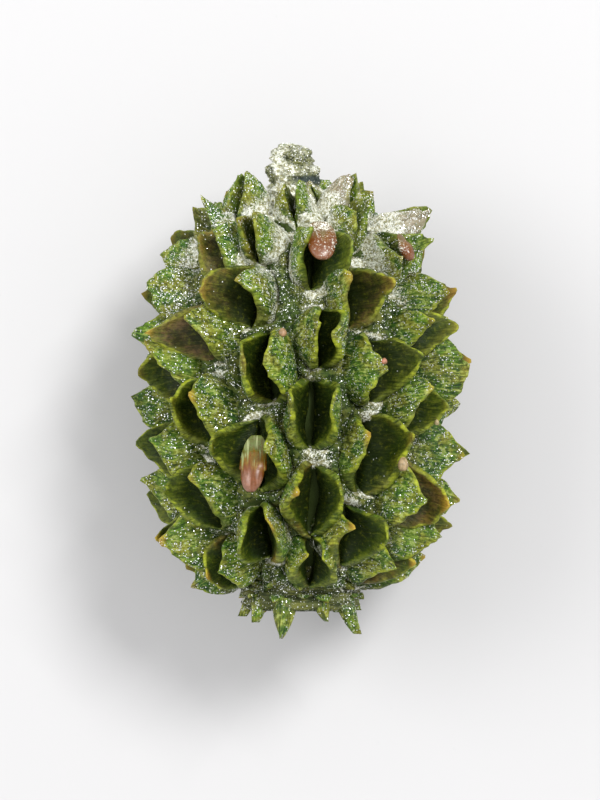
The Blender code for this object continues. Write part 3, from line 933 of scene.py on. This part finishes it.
def fill_seeds(graph):
    """An orange-brown nut that turns to a greenish streaked wing, with frost where "dusted" says."""
    settings = bpy.context.scene.cone_seeds
    where, dusted = graph.attributes("upwards", "dusted")
    broad = graph.noise(1500.0)
    strands = graph.noise(5200.0, 2.0, at=graph.stretched(graph.position(), (1.0, 0.10, 0.15)))
    wavy = graph.plus(where, graph.times(graph.math("SUBTRACT", broad, 0.5), 0.35))
    wavy = graph.plus(wavy, graph.times(graph.math("SUBTRACT", strands, 0.5), 0.9))
    streaks = graph.times(graph.ramp(strands, 0.50, 0.62, 0.0, 0.75), graph.ramp(wavy, 0.45, 0.75),
                          graph.ramp(dusted, 0.0, 0.3, 1.0, 0.25))
    crumbs = graph.group("frost_patches", Amount=dusted)["Mask"]
    return {
        "Base Color": graph.coats(
            settings.nut_low, (settings.nut, wavy, 0.02, 0.34, 1.0), ((132, 100, 28), wavy, 0.34, 0.56, 1.0),
            (settings.wing, wavy, 0.50, 0.74, 1.0), ((84, 50, 14), graph.noise(5200.0), 0.60, 0.40, 0.35),
            ((172, 180, 128), streaks), ((106, 58, 12), dusted, 0.0, 0.5, 0.60),
            (bpy.context.scene.cone_valves.frost, crumbs)),
        "Roughness": graph.plus(graph.ramp(broad, 0.3, 0.7, 0.22, 0.42), graph.times(crumbs, 0.4)),
        "Normal": graph.add(
            "ShaderNodeBump", {"Strength": 0.4, "Distance": 0.03 * MM, "Height": broad}).outputs[0]}


def fill_grains(graph):
    """Straw-coloured to pink skin with fine dark specks."""
    fine = graph.noise(3800.0)
    pink, = graph.attributes("pink")
    base = graph.mix(pink, srgb(170, 158, 116), srgb(176, 116, 92))
    return {"Base Color": graph.coats(base, ((96, 84, 44), fine, 0.60, 0.38, 0.6)),
            "Roughness": graph.ramp(fine, 0.3, 0.7, 0.3, 0.6)}


def fill_floor(graph, floor):
    """A plain pale floor with hardly visible darker specks."""
    return {"Base Color": graph.mix(graph.clouds(2600.0, 2.0, 0.2, 0.3), (0.57, 0.57, 0.57, 1.0), floor),
            "Roughness": 0.85}


# ---- operators


def settle(piece, material, node="cone"):
    piece.data.materials.append(material)
    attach(piece, "root")
    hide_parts(node)


class CONE_OT_body(bpy.types.Operator):
    """Builds the woody body with its hollow cells and rough ledges"""

    bl_idname = "cone.body"
    bl_label = "Body"

    def execute(self, context):
        settings = context.scene.cone_body
        rings, ledge, shelf, places = body_rings(settings)
        made = closed_loops("body", rings[None], {"ledge": ledge, "shelf": shelf, "tipwards": tipwards(places)})
        settle(made, paint(
            "body_bark", fill_crust, bark=settings.bark, deep=settings.deep, amount=0.12, glitter=0.35))
        return {"FINISHED"}


class CONE_OT_valves(bpy.types.Operator):
    """Builds every valve as a thin cupped blade"""

    bl_idname = "cone.valves"
    bl_label = "Valves"

    def execute(self, context):
        for name, whorls in PIECES_OF_VALVES.items():
            make_valves(name, whorls, context.scene.cone_valves)
        return {"FINISHED"}


class CONE_OT_nub(bpy.types.Operator):
    """Builds the frosted nub at the tip"""

    bl_idname = "cone.nub"
    bl_label = "Nub"

    def execute(self, context):
        rings = knobs(NUB_PROFILE_MM, sides=128, rows=120, draws=draws_for("nub"), rough_mm=0.19, size_mm=0.70,
                      aside_mm=-0.70)
        right = np.clip(0.5 + (rings[..., 0] / MM + 0.4) / 1.2, 0, 1)
        neck = right * np.exp(-(((rings[..., 1] / MM - NUB_NECK_MM) / 0.28) ** 2))
        ledge = 1 - 0.75 * np.clip(neck, 0, 1)
        made = closed_loops("nub", rings[None], {"ledge": ledge, "shelf": ledge * 0.1, "tipwards": 1.0})
        settle(made, paint(
            "nub_crust", fill_crust, bark=srgb(158, 160, 126), deep=srgb(60, 70, 66), amount=0.78, glitter=0.40))
        return {"FINISHED"}


class CONE_OT_stalk(bpy.types.Operator):
    """Builds the broken stalk end and its hanging scales"""

    bl_idname = "cone.stalk"
    bl_label = "Stalk end"

    def execute(self, context):
        rings = knobs(
            STALK_PROFILE_MM, sides=120, rows=90, draws=draws_for("stalk_end"), rough_mm=0.20, size_mm=0.6)
        made = closed_loops("stalk_end", rings[None], {"ledge": 1.0, "shelf": 0.2, "tipwards": 0.2})
        settle(made, paint(
            "stalk_bark", fill_crust, bark=srgb(90, 96, 54), deep=srgb(40, 44, 26), amount=0.30, glitter=0.28,
            stretch=(0.16, 1.0, 0.16)))

        draws = draws_for("stalk_scales")
        count = len(STALK_TIPS_MM)
        shift = draws.uniform(-1, 1, (count, 2))
        turns = [math.radians(LONG_TURN_DEGREES) + around_circle(count) + 0.08 * shift[:, 0]]
        rows = [(LONG_ALONG_MM, LONG_RADIUS_MM, np.array(STALK_HALF_WIDTHS_MM), np.array(STALK_TIPS_MM) + 0.5,
                 LONG_SPLAY)]
        for along, radius, count, tall, splay in SHORT_SCALES:
            turns.append(2 * math.pi * (np.arange(count) + draws.uniform(-0.3, 0.3, count)) / count)
            rows.append((along, radius, 0.42, tall * draws.uniform(0.6, 1.3, count), splay))
        parts = []
        for turn, (along, radius, half_width, reach, splay) in zip(turns, rows):
            wide = half_width * MM * draws.uniform(0.8, 1.25, len(turn))
            bend = 0.35 * MM * draws.uniform(-1, 0.6, len(turn))
            parts.append(leaf_loops(turn, along, radius, wide, reach * MM, bend, 0.26 * MM, splay))
        loops = np.concatenate(parts)
        count, columns, around = loops.shape[:3]
        t = np.linspace(0, 1, around // 2)
        risen = np.broadcast_to(np.concatenate([t, t[::-1]]), loops.shape[:3])
        across = np.broadcast_to(np.linspace(-1, 1, columns)[:, None], loops.shape[:3])
        tone = draws.uniform(0, 1, count)[:, None, None]
        scales = closed_loops("stalk_scales", loops, {
            "height": 0.6 * risen, "outside": 1.0, "risen": risen, "tone": tone, "brown": 0.0, "frost": 0.15,
        }, np.stack([across * 0.5 + 37 * tone, risen + 37 * tone], -1))
        settle(scales, paint("green_valves", fill_valves))
        return {"FINISHED"}


def seed_rings(seed):
    """Rings of a winged seed and how far up they are: an egg whose upper end runs out into a thin flat wing."""
    at_cell = np.flatnonzero((CELLS.whorl == seed.whorl) & (CELLS.place == seed.place))
    base, side, up, out = (one[0] for one in placed(CELLS.turn[at_cell], CELLS.along[at_cell]))
    tip = math.radians(seed.tip_degrees)
    lengthwise = math.cos(tip) * up - math.sin(tip) * out
    thick = math.cos(tip) * out + math.sin(tip) * up
    middle = base + MM * (seed.aside * side + seed.up * up + seed.out * out)
    reach = np.linspace(-1, 1, 41)[1:-1, None]
    high = seed.half_length + seed.wing
    run = np.where(reach < 0, reach * seed.half_length, reach * high)
    nut = np.sqrt(np.clip(1 - (run / seed.half_length) ** 2, 0, 1))
    wing = np.sqrt(np.where(run > 0, np.clip(1 - (run / high) ** 3, 0, 1), 0))
    wide = seed.half_width * np.maximum(SEED_NUT_WIDTH * nut, SEED_WING_WIDTH * wing)
    deep = np.maximum(seed.half_depth * nut, SEED_WING_DEPTH_MM * wing)
    around = around_circle(40)
    rings = (middle + (run * MM)[..., None] * lengthwise + (wide * MM * np.sin(around))[..., None] * side
             + (deep * MM * np.cos(around))[..., None] * thick)
    return rings, (run + seed.half_length) / (high + seed.half_length)


class CONE_OT_seeds(bpy.types.Operator):
    """Builds the loose winged seeds"""

    bl_idname = "cone.seeds"
    bl_label = "Seeds"

    def execute(self, context):
        for number, seed in enumerate(SEEDS, 1):
            rings, upwards = seed_rings(seed)
            made = closed_loops(f"winged_seed_{number}", rings[None], {"upwards": upwards, "dusted": seed.dust})
            settle(made, paint("seed_coat", fill_seeds), f"seed_{number}")
        return {"FINISHED"}


def grain_rings(grain, surface):
    """Rings of a small egg that sits half sunk on the highest point of the surface near its place."""
    x, y = grain.across_mm * MM, grain.along_mm * MM
    top = surface[np.hypot(surface[:, 0] - x, surface[:, 1] - y) < 0.16 * MM][:, 2].max()
    way = end_to_end(15)[1:-1, None]
    around = around_circle(20)[None]
    wide, tall = grain.half_width_mm * MM, grain.half_length_mm * MM
    blunt = wide * np.cos(way) * (1 - 0.25 * np.sin(way))
    return np.stack([x + blunt * np.cos(around), y + tall * np.sin(way) + 0 * around,
                     top + 0.35 * wide + 0.9 * blunt * np.sin(around)], -1)


def read_values(values, key, width):
    """The values of one kind in a finished mesh, as an array with so many columns."""
    read = np.empty(len(values) * width, np.float32)
    values.foreach_get(key, read)
    return read.reshape(-1, width)


class CONE_OT_grains(bpy.types.Operator):
    """Sets a few loose grains down on the valves"""

    bl_idname = "cone.grains"
    bl_label = "Grains"

    def execute(self, context):
        surface = np.vstack([read_values(bpy.data.objects[name].data.vertices, "co", 3)
                             for name in (*PIECES_OF_VALVES, "body", "stalk_end")])
        for number, grain in enumerate(GRAINS, 1):
            made = closed_loops(f"grain_{number}", grain_rings(grain, surface)[None], {"pink": grain.pink})
            settle(made, paint("grain_skin", fill_grains))
        return {"FINISHED"}


def flake_shapes(spots, normals, size, draws):
    """Flakes as squashed tetrahedra: three corners a third of a turn apart and a low fourth over their middle."""
    count = len(spots)
    facing = unit(normals + draws.normal(size=(count, 3)) * FLAKE_TILT)
    across = unit(np.cross(facing, draws.normal(size=(count, 3))))
    other = np.cross(facing, across)
    half = size * draws.uniform(*FLAKE_SIZES, (count, 1)) ** 2
    middle = spots + normals * half * FLAKE_LIFT
    turns = around_circle(3)[:, None]
    flat = half[:, None] * (across[:, None] * np.cos(turns) + other[:, None] * np.sin(turns))
    corners = np.concatenate([middle[:, None] + flat, (middle + facing * half * FLAKE_DEPTH)[:, None]], axis=1)
    faces = np.array([(2, 1, 0), (0, 1, 3), (1, 2, 3), (2, 0, 3)])
    every = (faces[None] + 4 * np.arange(count)[:, None, None]).reshape(-1, 3)
    return corners.reshape(-1, 3), every


class CONE_OT_glitter(bpy.types.Operator):
    """Scatters silver flakes over the valves' outsides, the ledges, the nub and the stalk end"""

    bl_idname = "cone.glitter"
    bl_label = "Glitter"

    def execute(self, context):
        settings = context.scene.cone_glitter
        draws = draws_for("glitter")
        found = []
        for name, whorls in PIECES_OF_VALVES.items():
            count = int(FLAKES_ON_VALVES * settings.flakes * SHARES_OF_FLAKES[name])
            found.append(outer_spots(whorls, context.scene.cone_valves, count, draws))
        for name, lowest, count in FLAKES_ELSEWHERE:
            mesh = bpy.data.objects[name].data
            ledge = read_values(mesh.attributes["ledge"].data, "value", 1)[:, 0]
            picked = draws.choice(np.flatnonzero(ledge >= lowest), count)
            found.append((read_values(mesh.vertices, "co", 3)[picked],
                          read_values(mesh.vertex_normals, "vector", 3)[picked]))
        spots, normals = (np.vstack(part) for part in zip(*found))
        for number in range(FLAKE_PIECES):
            points, faces = flake_shapes(
                spots[number::FLAKE_PIECES], normals[number::FLAKE_PIECES], settings.flake_size, draws)
            shine = np.repeat(draws.uniform(0, 1, len(points) // 4), 4)
            made = make_mesh(f"glitter_flakes_{number + 1}", points, np.empty((0, 4), int), faces,
                             {"shine": shine}, smooth=False)
            settle(made, paint("silver_flakes", fill_silver))
        return {"FINISHED"}


class CONE_OT_stage(bpy.types.Operator):
    """Puts a plain pale floor, soft studio lights and the camera round the cone"""

    bl_idname = "cone.stage"
    bl_label = "Stage"

    def execute(self, context):
        scene = context.scene
        settings = scene.cone_stage
        corners = FLOOR_HALF_SIDE * np.array([(-1, -1, 0), (1, -1, 0), (1, 1, 0), (-1, 1, 0)])
        floor = make_mesh("floor", corners, np.array([[0, 1, 2, 3]]), np.empty((0, 3), int), smooth=False)
        floor.data.materials.append(paint("pale_floor", fill_floor, floor=settings.floor))

        for name, place, width, power in LIGHTS:
            light = bpy.data.objects.new(name, bpy.data.lights.new(name, "AREA"))
            light.data.size = width
            light.data.energy = power
            light.location = place
            x, y, z = place
            light.rotation_euler = (math.atan2(math.hypot(x, y), z), 0.0, math.atan2(x, -y))
            scene.collection.objects.link(light)
        world = bpy.data.worlds.new("pale_room")
        world.use_nodes = True
        background = world.node_tree.nodes["Background"]
        background.inputs[0].default_value = ROOM_COLOUR
        background.inputs[1].default_value = ROOM_STRENGTH
        scene.world = world
        scene.view_settings.view_transform = "Standard"

        camera = bpy.data.objects.new("camera", bpy.data.cameras.new("camera"))
        camera.data.lens = settings.lens_mm
        camera.data.sensor_width = SENSOR_WIDTH_MM
        camera.data.clip_start = CLIP_START
        distance = settings.lens_mm / SENSOR_WIDTH_MM * settings.view_height
        camera.location = (CAMERA_X, CAMERA_Y, AXIS_HEIGHT + distance)
        scene.collection.objects.link(camera)
        scene.camera = camera
        return {"FINISHED"}


class CONE_PT_panel(bpy.types.Panel):
    """Lists the sizes and colours of the cone, then a button for each of its pieces"""

    bl_idname = "CONE_PT_panel"
    bl_label = "Casuarina cone"
    bl_space_type = "VIEW_3D"
    bl_region_type = "UI"
    bl_category = "Cone"

    def draw(self, context):
        for settings, _ in SETTINGS:
            group_of = getattr(context.scene, settings)
            for key in group_of.bl_rna.properties.keys():
                if key not in ("rna_type", "name"):
                    self.layout.prop(group_of, key)
        for operator in OPERATORS:
            self.layout.operator(operator.bl_idname)


SETTINGS = (
    ("cone_valves", ValveSettings), ("cone_body", BodySettings), ("cone_glitter", GlitterSettings),
    ("cone_seeds", SeedSettings), ("cone_stage", StageSettings))
OPERATORS = (
    CONE_OT_body, CONE_OT_valves, CONE_OT_nub, CONE_OT_stalk, CONE_OT_seeds, CONE_OT_grains, CONE_OT_glitter,
    CONE_OT_stage)


def register():
    for name, settings in SETTINGS:
        bpy.utils.register_class(settings)
        setattr(bpy.types.Scene, name, bpy.props.PointerProperty(type=settings))
    for operator in OPERATORS:
        bpy.utils.register_class(operator)
    bpy.utils.register_class(CONE_PT_panel)


def unregister():
    bpy.utils.unregister_class(CONE_PT_panel)
    for operator in reversed(OPERATORS):
        bpy.utils.unregister_class(operator)
    for name, settings in reversed(SETTINGS):
        delattr(bpy.types.Scene, name)
        bpy.utils.unregister_class(settings)


def main():
    register()
    for operator in OPERATORS:
        family, name = operator.bl_idname.split(".")
        getattr(getattr(bpy.ops, family), name)()


if __name__ == "__main__":
    main()
